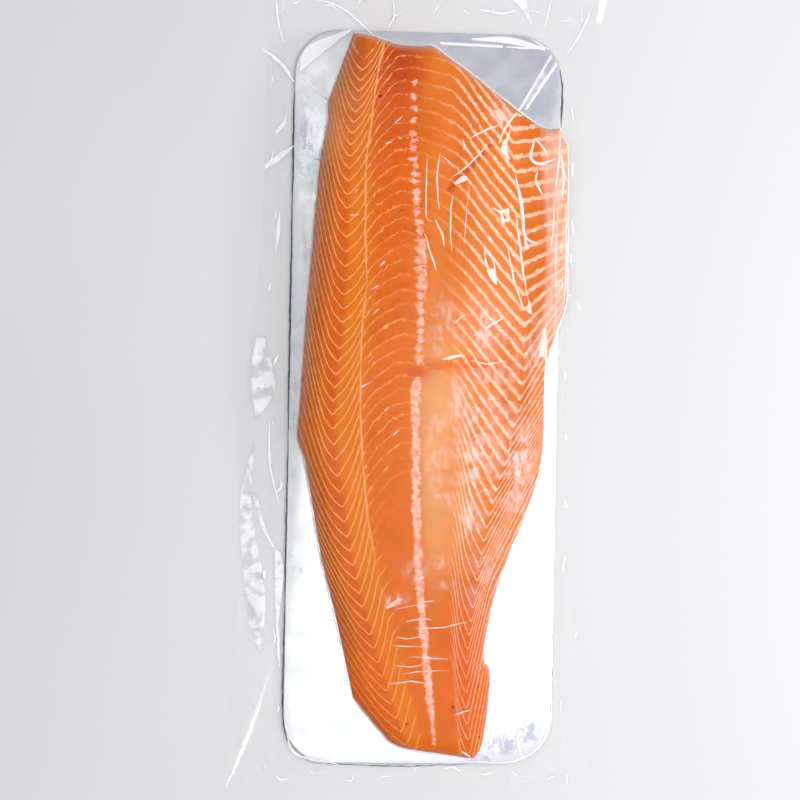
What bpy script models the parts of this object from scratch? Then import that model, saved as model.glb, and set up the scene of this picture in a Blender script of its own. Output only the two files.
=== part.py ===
"""Vacuum-packed raw salmon side on its silver board, in metres, +Z up.

The pack lies flat: the pouch film underneath, the board on it, and the fillet
skin side down on the board.  +Y points to the head end, +X to the belly side.
The origin is under the middle of the pouch, on the surface it rests on.
"""

from math import cos, hypot, pi, sin

import bmesh
import bpy
from mathutils import Vector
from mathutils.geometry import interpolate_bezier

# Pouch: a flat bag whose sides are drawn in where the vacuum wraps the fillet.
POUCH_LENGTH = 0.580
POUCH_WIDTH = 0.257
FILM_THICKNESS = 0.0008
# How far each side is drawn in, from the tail end (0) to the head end (1).
BACK_SIDE_DRAW = [(0.0, 0.000), (0.25, 0.004), (0.45, 0.007), (0.62, 0.017), (0.80, 0.020), (1.0, 0.020)]
BELLY_SIDE_DRAW = [(0.0, 0.000), (0.10, 0.005), (0.24, 0.017), (0.36, 0.025), (0.60, 0.020), (1.0, 0.001)]
POUCH_SIDE_STEPS = 24

# Board: a stiff silver card with round corners.
BOARD_LENGTH = 0.512
BOARD_WIDTH = 0.188
BOARD_THICKNESS = 0.0012
BOARD_CORNER_RADIUS = 0.032
BOARD_CORNER_STEPS = 8
BOARD_CENTRE = (0.0055, -0.0140)

# Gap kept between pieces that lie on each other.
GAP = 0.0003

# Fillet outline, measured from the centre of the board.  The four edges meet
# at the four corners, and each runs through the points where its bend changes.
TAIL_BACK_CORNER = (-0.0460, -0.2105)
TAIL_BELLY_CORNER = (0.0390, -0.2520)
HEAD_BACK_CORNER = (-0.0540, 0.2535)
HEAD_BELLY_CORNER = (0.0925, 0.1905)
BACK_EDGE = [
    TAIL_BACK_CORNER, (-0.0585, -0.1565), (-0.0700, -0.1120), (-0.0785, -0.0665), (-0.0830, -0.0440),
    (-0.0880, -0.0290), (-0.0865, -0.0035), (-0.0830, 0.0590), (-0.0785, 0.1260), (-0.0755, 0.1650),
    (-0.0710, 0.1910), (-0.0705, 0.2050), (-0.0655, 0.2200), HEAD_BACK_CORNER,
]
BELLY_EDGE = [
    TAIL_BELLY_CORNER, (0.0435, -0.2450), (0.0465, -0.2300), (0.0490, -0.2050), (0.0490, -0.1900),
    (0.0458, -0.1850), (0.0450, -0.1720), (0.0540, -0.1295), (0.0700, -0.0865), (0.0780, -0.0640),
    (0.0830, -0.0425), (0.0842, -0.0205), (0.0840, 0.0105), (0.0875, 0.0335), (0.0975, 0.0630),
    (0.0990, 0.0770), (0.0985, 0.1405), (0.0980, 0.1745), HEAD_BELLY_CORNER,
]
HEAD_EDGE = [
    HEAD_BACK_CORNER, (-0.0450, 0.2525), (-0.0325, 0.2490), (-0.0225, 0.2460), (-0.0075, 0.2450),
    (0.0015, 0.2455), (0.0125, 0.2380), (0.0265, 0.2285), (0.0500, 0.2110), (0.0685, 0.1975),
    (0.0820, 0.1900), HEAD_BELLY_CORNER,
]
TAIL_EDGE = [
    TAIL_BACK_CORNER, (-0.0335, -0.2250), (-0.0245, -0.2350), (-0.0190, -0.2405), (-0.0060, -0.2455),
    (0.0155, -0.2485), TAIL_BELLY_CORNER,
]

# Flesh: thickness of the loin along the fillet, from tail (0) to head (1).
LOIN_THICKNESS = [(0.0, 0.0105), (0.15, 0.0140), (0.35, 0.0200), (0.60, 0.0255), (0.80, 0.0260), (1.0, 0.0225)]
# Share of that thickness across the fillet, from the back edge (0) to the
# belly edge (1), where the whole belly is left on and where the tail narrows.
HEAD_PROFILE = [
    (0.0, 0.84), (0.12, 0.95), (0.28, 1.00), (0.42, 0.96), (0.49, 0.89), (0.58, 0.87),
    (0.70, 0.66), (0.79, 0.42), (0.85, 0.35), (1.0, 0.27),
]
TAIL_PROFILE = [(0.0, 0.86), (0.20, 0.97), (0.40, 1.00), (0.56, 0.94), (0.75, 0.90), (1.0, 0.76)]
TAIL_PROFILE_ENDS = 0.22
HEAD_PROFILE_STARTS = 0.55
# The edges stand RIM high and round over into the crown within EDGE_ROUND.
RIM = 0.0022
EDGE_ROUND = 0.0120
SKIN_TUCK = 0.0015
ROWS_ALONG = 54
ROWS_ACROSS = 26
CURVE_STEPS = 12


def clear_scene():
    for item in list(bpy.data.objects):
        bpy.data.objects.remove(item, do_unlink=True)


def make_material(name, colour, roughness, metallic=0.0, alpha=1.0):
    material = bpy.data.materials.new(name)
    material.use_nodes = True
    shader = material.node_tree.nodes["Principled BSDF"]
    shader.inputs["Base Color"].default_value = (*colour, 1.0)
    shader.inputs["Roughness"].default_value = roughness
    shader.inputs["Metallic"].default_value = metallic
    shader.inputs["Alpha"].default_value = alpha
    return material


def add_object(name, shape, material, location=(0.0, 0.0, 0.0)):
    """Turn a bmesh into a named object with its faces pointing out."""
    bmesh.ops.recalc_face_normals(shape, faces=shape.faces)
    mesh = bpy.data.meshes.new(name)
    shape.to_mesh(mesh)
    shape.free()
    mesh.materials.append(material)
    item = bpy.data.objects.new(name, mesh)
    item.location = location
    bpy.context.scene.collection.objects.link(item)
    return item


def slab(outline, bottom, thickness):
    """A flat slab: the outline filled as one face and extruded upwards."""
    shape = bmesh.new()
    face = shape.faces.new([shape.verts.new((x, y, bottom)) for x, y in outline])
    top = bmesh.ops.extrude_face_region(shape, geom=[face])["geom"]
    lifted = [item for item in top if isinstance(item, bmesh.types.BMVert)]
    bmesh.ops.translate(shape, verts=lifted, vec=(0.0, 0.0, thickness))
    return shape


def bezier_through(points):
    """A smooth curve through all the points, as a list of 3-D vectors."""
    knots = [Vector((x, y, 0.0)) for x, y in points]
    before = [2 * knots[0] - knots[1]] + knots[:-1]
    after = knots[1:] + [2 * knots[-1] - knots[-2]]
    handles = [(late - early) / 6 for early, late in zip(before, after)]
    curve = [knots[0]]
    for start, end, pull_out, pull_in in zip(knots, knots[1:], handles, handles[1:]):
        curve += interpolate_bezier(start, start + pull_out, end - pull_in, end, CURVE_STEPS)[1:]
    return curve


def value_at(stations, place):
    """The smooth value between stations of (place, value)."""
    curve = bezier_through(stations)
    for start, end in zip(curve, curve[1:]):
        if place <= end.x:
            return start.y + (end.y - start.y) * (place - start.x) / (end.x - start.x)
    return curve[-1].y


def point_along(curve, share):
    """The point at a share of the curve's length."""
    lengths = [(end - start).length for start, end in zip(curve, curve[1:])]
    left = share * sum(lengths)
    for start, end, length in zip(curve, curve[1:], lengths):
        if left <= length:
            return start.lerp(end, left / length)
        left -= length
    return curve[-1].copy()


def smooth_step(low, high, value):
    share = min(max((value - low) / (high - low), 0.0), 1.0)
    return share * share * (3 - 2 * share)


def distance_to(outline, point):
    """The distance in plan from a point to the nearest stretch of the outline."""
    nearest = 1.0
    for start, end in zip(outline, outline[1:]):
        run = end - start
        share = min(max((point - start).dot(run) / run.length_squared, 0.0), 1.0)
        nearest = min(nearest, (point - start - run * share).length)
    return nearest


def pouch_outline():
    """The sides of the bag, from tail to head and back, with straight ends."""
    belly_side = []
    back_side = []
    for step in range(POUCH_SIDE_STEPS + 1):
        share = step / POUCH_SIDE_STEPS
        along = (share - 0.5) * POUCH_LENGTH
        belly_side.append((POUCH_WIDTH / 2 - value_at(BELLY_SIDE_DRAW, share), along))
        back_side.append((-POUCH_WIDTH / 2 + value_at(BACK_SIDE_DRAW, share), along))
    return belly_side + back_side[::-1]


def make_pouch():
    material = make_material("clear_film", (0.88, 0.89, 0.91), 0.08, alpha=0.35)
    return add_object("pouch", slab(pouch_outline(), 0.0, FILM_THICKNESS), material)


def board_outline():
    """A rectangle with a quarter circle at each corner."""
    outline = []
    for quarter, (side, end) in enumerate([(1, 1), (-1, 1), (-1, -1), (1, -1)]):
        corner_x = side * (BOARD_WIDTH / 2 - BOARD_CORNER_RADIUS)
        corner_y = end * (BOARD_LENGTH / 2 - BOARD_CORNER_RADIUS)
        for step in range(BOARD_CORNER_STEPS + 1):
            angle = (quarter + step / BOARD_CORNER_STEPS) * pi / 2
            x = corner_x + BOARD_CORNER_RADIUS * cos(angle)
            y = corner_y + BOARD_CORNER_RADIUS * sin(angle)
            outline.append((x, y))
    return outline


def make_board():
    material = make_material("silver_board", (0.68, 0.68, 0.71), 0.30, metallic=0.9)
    shape = slab(board_outline(), 0.0, BOARD_THICKNESS)
    return add_object("backing_board", shape, material, (*BOARD_CENTRE, FILM_THICKNESS + GAP))


def flesh_thickness(across, along):
    """Thickness of the flesh inside its round edges."""
    at_head = value_at(HEAD_PROFILE, across)
    at_tail = value_at(TAIL_PROFILE, across)
    share = smooth_step(TAIL_PROFILE_ENDS, HEAD_PROFILE_STARTS, along)
    return value_at(LOIN_THICKNESS, along) * (at_tail + (at_head - at_tail) * share)


def fillet_plan(edges, across, along):
    """A point of the plan: the surface spanned between the four edges."""
    back, belly, head, tail = edges
    lengthwise = point_along(back, along).lerp(point_along(belly, along), across)
    crosswise = point_along(tail, across).lerp(point_along(head, across), along)
    corners_tail = tail[0].lerp(tail[-1], across)
    corners_head = head[0].lerp(head[-1], across)
    return lengthwise + crosswise - corners_tail.lerp(corners_head, along)


def edge_weighted(step, steps):
    """Spaces rows closer together towards both edges."""
    even = step / steps
    return 0.45 * even + 0.55 * (0.5 - 0.5 * cos(pi * even))


def fillet_shape():
    """The crowned flesh as a grid, extruded down to the flat skin side."""
    edges = [bezier_through(points) for points in (BACK_EDGE, BELLY_EDGE, HEAD_EDGE, TAIL_EDGE)]
    back, belly, head, tail = edges
    outline = back + head + belly[::-1] + tail[::-1]
    shape = bmesh.new()
    bmesh.ops.create_grid(shape, x_segments=ROWS_ACROSS, y_segments=ROWS_ALONG, size=0.5)
    shape.verts.ensure_lookup_table()
    rim = []
    for vert in shape.verts:
        across = edge_weighted(round((vert.co.x + 0.5) * ROWS_ACROSS), ROWS_ACROSS)
        along = edge_weighted(round((vert.co.y + 0.5) * ROWS_ALONG), ROWS_ALONG)
        plan = fillet_plan(edges, across, along)
        if vert.is_boundary:
            rim.append(vert)
            inset = 0.0
        else:
            inset = min(distance_to(outline, plan) / EDGE_ROUND, 1.0)
        rounding = (1 - (1 - inset) ** 2) ** 0.5
        height = RIM + (flesh_thickness(across, along) - RIM) * rounding
        vert.co = (plan.x, plan.y, height)
    middle = sum((vert.co for vert in rim), Vector()) / len(rim)
    skin = bmesh.ops.extrude_face_region(shape, geom=shape.faces[:])["geom"]
    for vert in [item for item in skin if isinstance(item, bmesh.types.BMVert)]:
        outward = Vector((vert.co.x - middle.x, vert.co.y - middle.y))
        tuck = outward * (SKIN_TUCK / hypot(BOARD_WIDTH / 2, BOARD_LENGTH / 2))
        vert.co = (vert.co.x - tuck.x, vert.co.y - tuck.y, 0.0)
    return shape


def make_fillet():
    material = make_material("salmon_flesh", (0.80, 0.22, 0.05), 0.35)
    base = FILM_THICKNESS + GAP + BOARD_THICKNESS + GAP
    fillet = add_object("fillet", fillet_shape(), material, (*BOARD_CENTRE, base))
    fillet.data.shade_smooth()
    return fillet


clear_scene()
make_pouch()
make_board()
make_fillet()
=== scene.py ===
import math

import bpy
import numpy as np
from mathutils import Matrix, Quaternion, Vector, noise
from mathutils.bvhtree import BVHTree


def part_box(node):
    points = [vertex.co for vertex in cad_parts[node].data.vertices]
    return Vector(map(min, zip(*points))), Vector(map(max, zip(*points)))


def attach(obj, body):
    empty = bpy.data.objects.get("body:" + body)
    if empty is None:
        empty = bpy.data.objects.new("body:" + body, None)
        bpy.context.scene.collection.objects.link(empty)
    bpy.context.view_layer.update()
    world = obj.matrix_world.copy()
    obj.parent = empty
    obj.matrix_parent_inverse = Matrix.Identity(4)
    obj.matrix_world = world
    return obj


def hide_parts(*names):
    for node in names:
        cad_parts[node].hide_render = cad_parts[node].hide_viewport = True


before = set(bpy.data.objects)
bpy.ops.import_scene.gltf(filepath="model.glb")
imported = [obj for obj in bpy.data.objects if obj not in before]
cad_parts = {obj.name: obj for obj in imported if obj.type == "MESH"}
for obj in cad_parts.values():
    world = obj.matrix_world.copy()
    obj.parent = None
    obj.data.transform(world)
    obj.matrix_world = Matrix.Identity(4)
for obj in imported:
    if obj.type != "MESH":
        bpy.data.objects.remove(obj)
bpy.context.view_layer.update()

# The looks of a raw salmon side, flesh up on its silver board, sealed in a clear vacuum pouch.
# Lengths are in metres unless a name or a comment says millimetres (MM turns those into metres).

MM = 0.001

# Where the CAD pieces lie.
FILLET_LOW, FILLET_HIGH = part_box("fillet")
FILLET_MIDDLE = (FILLET_LOW + FILLET_HIGH) / 2
BOARD_LOW, BOARD_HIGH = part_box("backing_board")
POUCH_LOW, POUCH_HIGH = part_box("pouch")

# Fillet outline, measured from the middle of the board.  The four edges meet at the four corners.
TAIL_BACK_CORNER = (-0.0460, -0.2105)
TAIL_BELLY_CORNER = (0.0390, -0.2520)
HEAD_BACK_CORNER = (-0.0540, 0.2535)
HEAD_BELLY_CORNER = (0.0925, 0.1905)
BACK_EDGE = [
    TAIL_BACK_CORNER, (-0.0585, -0.1565), (-0.0700, -0.1120), (-0.0785, -0.0665), (-0.0830, -0.0440),
    (-0.0880, -0.0290), (-0.0865, -0.0035), (-0.0830, 0.0590), (-0.0785, 0.1260), (-0.0755, 0.1650),
    (-0.0710, 0.1910), (-0.0705, 0.2050), (-0.0655, 0.2200), HEAD_BACK_CORNER,
]
BELLY_EDGE = [
    TAIL_BELLY_CORNER, (0.0435, -0.2450), (0.0465, -0.2300), (0.0490, -0.2050), (0.0490, -0.1900),
    (0.0458, -0.1850), (0.0450, -0.1720), (0.0540, -0.1295), (0.0700, -0.0865), (0.0780, -0.0640),
    (0.0830, -0.0425), (0.0842, -0.0205), (0.0840, 0.0105), (0.0875, 0.0335), (0.0975, 0.0630),
    (0.0990, 0.0770), (0.0985, 0.1405), (0.0980, 0.1745), HEAD_BELLY_CORNER,
]
HEAD_EDGE = [
    HEAD_BACK_CORNER, (-0.0450, 0.2525), (-0.0325, 0.2490), (-0.0225, 0.2460), (-0.0075, 0.2450),
    (0.0015, 0.2455), (0.0125, 0.2380), (0.0265, 0.2285), (0.0500, 0.2110), (0.0685, 0.1975),
    (0.0820, 0.1900), HEAD_BELLY_CORNER,
]
TAIL_EDGE = [
    TAIL_BACK_CORNER, (-0.0335, -0.2250), (-0.0245, -0.2350), (-0.0190, -0.2405), (-0.0060, -0.2455),
    (0.0155, -0.2485), TAIL_BELLY_CORNER,
]

# Muscle lines across the fillet, counted from the tail, in millimetres from the middle of the
# fillet.  A few of them carry the pattern and the others follow in between.  The back of a line:
# its number, back edge, bottom of the V, lateral line.
BACK_LINES = [
    (0, (-47, -237), (0, -282), (5, -274)),
    (10, (-71, -132), (-35, -186), (-28, -155)),
    (20, (-88, -37), (-60, -89), (-48, -51)),
    (27, (-89, 47), (-70, -15), (-51, 17)),
    (35, (-84, 120), (-64, 58), (-50, 75)),
    (45, (-78, 220), (-62, 155), (-50, 172)),
    (55, (-72, 305), (-53, 231), (-37, 256)),
]
BACK_PLACES = [0, 0.5, 1, 1.5, 2, 3, 4]
BACK_FOLD = 4

# The side of a line runs on: its number, lateral line, crest, flank, belly fold, belly edge.
SIDE_LINES = [
    (0, (5, -274), (8, -271), (23, -272), (35, -308), (44, -238)),
    (10, (-28, -155), (-12, -142), (14, -145), (27, -197), (42, -131)),
    (20, (-48, -63), (-20, -33), (16, -42), (37, -101), (67, -46)),
    (27, (-50, 12), (-21, 32), (14, 16), (53, -39), (79, 3)),
    (33, (-48, 74), (-22, 93), (13, 71), (64, 19), (84, 51)),
    (40, (-49, 139), (-25, 159), (11, 148), (62, 93), (90, 107)),
    (47, (-47, 198), (-26, 226), (8, 221), (54, 168), (89, 174)),
    (55, (-37, 268), (-24, 290), (4, 308), (48, 243), (88, 256)),
]
SIDE_PLACES = [4, 5, 6, 7, 8, 9, 10, 11]
SIDE_FOLD = 6
BACKBONE, BELLY_FOLD = 7, 10

# The backbone line from the head to the tail: beads down to BEADS_END, then one knobbly strip.
BACKBONE_ROUTE = [
    (-18, 216), (-17, 160), (-11, 95), (-11, 40), (-13, -5), (-11, -75), (-8, -125), (-2, -180), (6, -245),
]
BEADS_END = 22
STRIP_START = 10
BACKBONE_LINK = [(-9, 107, 0.8), (-8, 86, 0.9), (-8, 66, 0.6)]
LATERAL_LINE = [
    (-34, 269), (-44, 216), (-50, 160), (-50, 114), (-48, 77), (-51, 41), (-51, -11), (-48, -52),
    (-44, -87), (-36, -125), (-28, -155), (-10, -213), (5, -274),
]
HEAD_GROOVE = [(38, 177), (24, 160), (8, 143)]
SLIT = [(-7, 23), (25, 24), (53, 22)]
DARK_SPECKS = [
    (-41, 206, 1.6), (-25, 127, 1), (27, 189, 0.8), (18, -216, 1.3), (37, -237, 0.9), (-14, -228, 1.1),
]


# ---------------------------------------------------------------- shared tools

def deselect_all():
    for item in bpy.context.selected_objects:
        item.select_set(False)


def coordinates(mesh):
    flat = np.zeros(len(mesh.vertices) * 3)
    mesh.vertices.foreach_get("co", flat)
    return flat.reshape(-1, 3)


def set_coordinates(mesh, points):
    mesh.vertices.foreach_set("co", np.asarray(points, dtype=float).ravel())
    mesh.update()


def add_grid(name, across, along):
    """A flat grid of faces; its vertices run along X first."""
    deselect_all()
    bpy.ops.mesh.primitive_grid_add(x_subdivisions=across, y_subdivisions=along, size=1)
    grid = bpy.context.object
    grid.name = name
    grid.data.name = name
    return grid


def node_tree_of(mesh):
    """A search tree over a mesh, for dropping points onto it."""
    triangles = mesh.loop_triangles
    if not triangles:
        mesh.calc_loop_triangles()
        triangles = mesh.loop_triangles
    return BVHTree.FromPolygons(coordinates(mesh).tolist(), [tuple(face.vertices) for face in triangles])


def outline_at(node, places):
    """The lowest and highest X of a CAD node where it crosses each Y in places."""
    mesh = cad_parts[node].data
    points = coordinates(mesh)
    ends = np.zeros(len(mesh.edges) * 2, dtype=int)
    mesh.edges.foreach_get("vertices", ends)
    first, last = points[ends[0::2]], points[ends[1::2]]
    low = np.zeros(len(places))
    high = np.zeros(len(places))
    for index, place in enumerate(places):
        crossing = (first[:, 1] - place) * (last[:, 1] - place) <= 0
        crossing &= first[:, 1] != last[:, 1]
        start, end = first[crossing], last[crossing]
        share = (place - start[:, 1]) / (end[:, 1] - start[:, 1])
        crossed = start[:, 0] + (end[:, 0] - start[:, 0]) * share
        low[index], high[index] = crossed.min(), crossed.max()
    return low, high


def smoothed(heights, passes):
    """Evens out a grid of heights, with its border held."""
    result = heights.copy()
    for _ in range(passes):
        inner = result[1:-1, 1:-1]
        across = (result[1:-1, :-2] + result[1:-1, 2:]) / 2
        along = (result[:-2, 1:-1] + result[2:, 1:-1]) / 2
        result[1:-1, 1:-1] = inner * 0.5 + (across + along) * 0.25
    return result


def smooth_step(low, high, values):
    share = np.clip((np.asarray(values, dtype=float) - low) / (high - low), 0.0, 1.0)
    return share * share * (3 - 2 * share)


def curve_value(stations, values, places):
    """A smooth curve through (stations, values) that never overshoots them."""
    stations = np.asarray(stations, dtype=float)
    values = np.asarray(values, dtype=float)
    steps = np.diff(stations)
    slopes = np.diff(values) / steps
    tangents = np.empty_like(values)
    tangents[0], tangents[-1] = slopes[0], slopes[-1]
    before, after = slopes[:-1], slopes[1:]
    same_way = before * after > 0
    safe_before = np.where(same_way, before, 1.0)
    safe_after = np.where(same_way, after, 1.0)
    tangents[1:-1] = np.where(same_way, 2 / (1 / safe_before + 1 / safe_after), 0.0)
    index = np.clip(np.searchsorted(stations, places) - 1, 0, len(steps) - 1)
    share = (places - stations[index]) / steps[index]
    inside = np.clip(share, 0.0, 1.0)
    run = steps[index]
    value = (
        (2 * inside**3 - 3 * inside**2 + 1) * values[index]
        + (inside**3 - 2 * inside**2 + inside) * run * tangents[index]
        + (3 * inside**2 - 2 * inside**3) * values[index + 1]
        + (inside**3 - inside**2) * run * tangents[index + 1]
    )
    beyond = np.where(share > 1, share - 1, np.minimum(share, 0)) * run
    return value + beyond * np.where(share > 1, tangents[-1], tangents[0])


def uneven(points, size, seed=0.0):
    """Smooth random values from -1 to 1 at points, with bumps about size wide."""
    return np.array([noise.noise(Vector((x / size, y / size, seed))) for x, y in points])


def store(mesh, name, values):
    """Writes one number for each vertex."""
    layer = mesh.attributes.new(name, "FLOAT", "POINT")
    layer.data.foreach_set("value", np.asarray(values, dtype=np.float32))


def store_colour(mesh, name, colours):
    layer = mesh.attributes.new(name, "FLOAT_COLOR", "POINT")
    rgba = np.ones((len(colours), 4), dtype=np.float32)
    rgba[:, :3] = colours
    layer.data.foreach_set("color", rgba.ravel())


def linear(red, green, blue):
    """Turns 0 to 255 screen values into the light that they stand for."""
    return np.array([((v / 255 + 0.055) / 1.055) ** 2.4 if v > 10 else v / 255 / 12.92 for v in (red, green, blue)])


# ---------------------------------------------------------------- muscle pattern

def bowed(start, end, shares, bow):
    """Points between two ends; a bow above 1 spends its height early, one below 1 late."""
    across, up = end[0] - start[0], end[1] - start[1]
    return [(start[0] + across * share, start[1] + up * (1 - (1 - share) ** bow)) for share in shares]


def back_lines():
    """Landmarks: back edge, three down the falling arm, bottom of the V, rising arm, lateral line."""
    lines = []
    for number, edge, bottom, lateral in BACK_LINES:
        falling = bowed(edge, bottom, (0, 0.22, 0.45, 0.7, 1), 1.2 + 0.018 * min(number, 40))
        lines.append((number, falling + bowed(bottom, lateral, (0.5, 1), 0.65)))
    return lines


def side_lines():
    """Landmarks: lateral line, shoulder, crest, backbone, flank, lower flank, belly fold and edge."""
    lines = []
    for number, lateral, crest, flank, fold, edge in SIDE_LINES:
        rise = bowed(lateral, crest, (0, 0.33), 1.8)
        top = bowed(crest, flank, (0, 0.25), 0.3)
        late_drop = np.interp(number, [15, 27], [1.6, 1.0])
        lines.append((number, rise + top + bowed(flank, fold, (0, 0.5, 1), late_drop) + [edge]))
    return lines


def backbone_x(y):
    """Where the backbone line runs at a height, in millimetres."""
    route = np.array(BACKBONE_ROUTE, dtype=float)[::-1]
    return np.interp(y, route[:, 1], route[:, 0])


def backbone_beads():
    """Separate pale beads, the biggest below the thick of the head: x, y, half-width, half-length."""
    random = np.random.default_rng(41)
    beads = []
    y = 218.0
    while y > BEADS_END:
        size = 2.1 + 1.4 * math.exp(-(((y - 85) / 50) ** 2))
        half_length = size * random.uniform(0.55, 1.05)
        y -= half_length
        shift = random.uniform(-1.1, 1.1)
        beads.append((backbone_x(y) + shift, y, size * random.uniform(0.7, 1.1), half_length))
        y -= half_length + random.uniform(0.2, 1.6 + 0.045 * max(y - 95, 0))
    return beads


def backbone_strip():
    """One knobbly strip that thins out towards the tail's end: x, y, half-width."""
    random = np.random.default_rng(42)
    strip = []
    for y in np.arange(STRIP_START, -246, -4.5):
        taper = np.interp(y, [-245, -225, -205, STRIP_START], [0.3, 0.45, 1, 1])
        strip.append((backbone_x(y) + random.uniform(-0.4, 0.4), y, random.uniform(1.6, 3.6) * taper))
    return strip


class MusclePattern:
    """Which muscle line passes through a point of the fillet, and how far along it that is."""

    STEP = 0.7

    def __init__(self, lines, line_places, fold, steepest):
        numbers = np.array([number for number, _ in lines], dtype=float)
        marks = np.array([points for _, points in lines], dtype=float)
        places = np.arange(numbers[0], numbers[-1] + 0.1, 0.25)
        landmarks = np.empty((len(places), marks.shape[1], 2))
        for index in range(marks.shape[1]):
            for axis in range(2):
                landmarks[:, index, axis] = curve_value(numbers, marks[:, index, axis], places)
        self.low = np.array([-100.0, -258.0])
        self.columns = np.arange(self.low[0], 100.0, self.STEP)
        self.rows = np.arange(self.low[1], 258.0, self.STEP)
        heights = np.array([self.line_across(points, fold, steepest) for points in landmarks])
        heights = np.maximum.accumulate(heights, axis=0)
        across = np.array([np.interp(self.columns, points[:, 0], line_places) for points in landmarks])
        self.number = np.empty((len(self.rows), len(self.columns)))
        self.landmark = np.empty_like(self.number)
        for column in range(len(self.columns)):
            self.number[:, column] = np.interp(self.rows, heights[:, column], places)
            self.landmark[:, column] = np.interp(self.rows, heights[:, column], across[:, column])
        along, sideways = np.gradient(self.number, self.STEP)
        self.closeness = np.hypot(along, sideways)

    def line_across(self, points, fold, steepest):
        """The height of one muscle line at each column, with a sharp turn at its fold."""
        before = curve_value(points[: fold + 1, 0], points[: fold + 1, 1], self.columns)
        after = curve_value(points[fold:, 0], points[fold:, 1], self.columns)
        line = np.where(self.columns < points[fold, 0], before, after)
        past_end = np.maximum(self.columns - points[-1, 0], 0)
        line = np.where(past_end > 0, np.minimum(line, points[-1, 1] + steepest * past_end), line)
        soft = np.array([1.0, 2.0, 1.0])
        padded = np.pad(line, len(soft) // 2, mode="edge")
        return np.convolve(padded, soft / soft.sum(), mode="valid")

    def read(self, table, x, y):
        """Values of a table at points in millimetres."""
        column = np.clip((x - self.low[0]) / self.STEP, 0, len(self.columns) - 1.001)
        row = np.clip((y - self.low[1]) / self.STEP, 0, len(self.rows) - 1.001)
        left, under = column.astype(int), row.astype(int)
        right_share, upper_share = column - left, row - under
        lower = table[under, left] * (1 - right_share) + table[under, left + 1] * right_share
        upper = table[under + 1, left] * (1 - right_share) + table[under + 1, left + 1] * right_share
        return lower * (1 - upper_share) + upper * upper_share


def distance_to_route(x, y, route):
    """Distance in millimetres to a chain of points, minus on one side of it, and the place along it."""
    route = np.asarray(route, dtype=float)
    nearest = np.full(len(x), 1e9)
    place = np.zeros(len(x))
    for index, (start, end) in enumerate(zip(route[:, :2], route[1:, :2])):
        run = end - start
        share = np.clip(((x - start[0]) * run[0] + (y - start[1]) * run[1]) / (run @ run), 0, 1)
        dx, dy = x - start[0] - run[0] * share, y - start[1] - run[1] * share
        distance = np.hypot(dx, dy)
        closer = distance < np.abs(nearest)
        side = np.where(run[0] * dy - run[1] * dx >= 0, 1.0, -1.0)
        nearest = np.where(closer, distance * side, nearest)
        place = np.where(closer, index + share, place)
    return nearest, place


def outside_strip(x, y, strip):
    """How far points lie outside a strip given by its middle and half-width; negative inside."""
    distance, place = distance_to_route(x, y, strip)
    widths = [half_width for _, _, half_width in strip]
    return np.abs(distance) - np.interp(place, np.arange(len(widths)), widths)


def patch(x, y, centre, size, turn=0.0):
    """A soft round patch: 1 in the middle, fading out at size."""
    cosine, sine = math.cos(math.radians(turn)), math.sin(math.radians(turn))
    dx, dy = x - centre[0], y - centre[1]
    along = (dx * cosine + dy * sine) / size[0]
    across = (dy * cosine - dx * sine) / size[1]
    return np.exp(-(along**2 + across**2) * 1.5)


# ---------------------------------------------------------------- fillet

ACROSS, ALONG = 172, 430
SWELL = 0.20 * MM


def smooth_curve(points):
    """A smooth curve through all the points."""
    knots = np.array(points)
    before = np.vstack([2 * knots[0] - knots[1], knots[:-1]])
    after = np.vstack([knots[1:], 2 * knots[-1] - knots[-2]])
    pulls = (after - before) / 6
    share = np.linspace(0, 1, 13)[1:, None]
    rest = 1 - share
    pieces = [knots[:1]]
    for start, end, pull_out, pull_in in zip(knots, knots[1:], pulls, pulls[1:]):
        early = rest**3 * start + 3 * rest**2 * share * (start + pull_out)
        pieces.append(early + 3 * rest * share**2 * (end - pull_in) + share**3 * end)
    return np.vstack(pieces)


def points_along(curve, shares):
    """The points at shares of a curve's length."""
    lengths = np.concatenate([[0], np.cumsum(np.hypot(*np.diff(curve, axis=0).T))])
    places = np.asarray(shares) * lengths[-1]
    return np.stack([np.interp(places, lengths, curve[:, 0]), np.interp(places, lengths, curve[:, 1])], axis=-1)


def edge_weighted(count, evenness):
    """Shares from 0 to 1 that lie closer together at both ends."""
    even = np.linspace(0, 1, count + 1)
    return evenness * even + (1 - evenness) * (0.5 - 0.5 * np.cos(np.pi * even))


def fillet_plan():
    """The grid of the fillet in plan, spanned between its four edges."""
    back, belly, head, tail = [smooth_curve(points) for points in (BACK_EDGE, BELLY_EDGE, HEAD_EDGE, TAIL_EDGE)]
    across, along = edge_weighted(ACROSS, 0.7), edge_weighted(ALONG, 0.8)
    over, up = across[None, :, None], along[:, None, None]
    lengthwise = points_along(back, along)[:, None] * (1 - over) + points_along(belly, along)[:, None] * over
    crosswise = points_along(tail, across)[None] * (1 - up) + points_along(head, across)[None] * up
    corners = (tail[0] * (1 - over) + tail[-1] * over) * (1 - up) + (head[0] * (1 - over) + head[-1] * over) * up
    middle = (BOARD_LOW + BOARD_HIGH) / 2
    return lengthwise + crosswise - corners + np.array([middle.x, middle.y])


def dropped_height(tree, x, y, top):
    """The height of a surface under (x, y), or of its nearest point."""
    hit = tree.ray_cast(Vector((x, y, top)), Vector((0, 0, -1)))[0]
    if hit is None:
        hit = tree.find_nearest(Vector((x, y, FILLET_LOW.z)))[0]
    return hit.z


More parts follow.
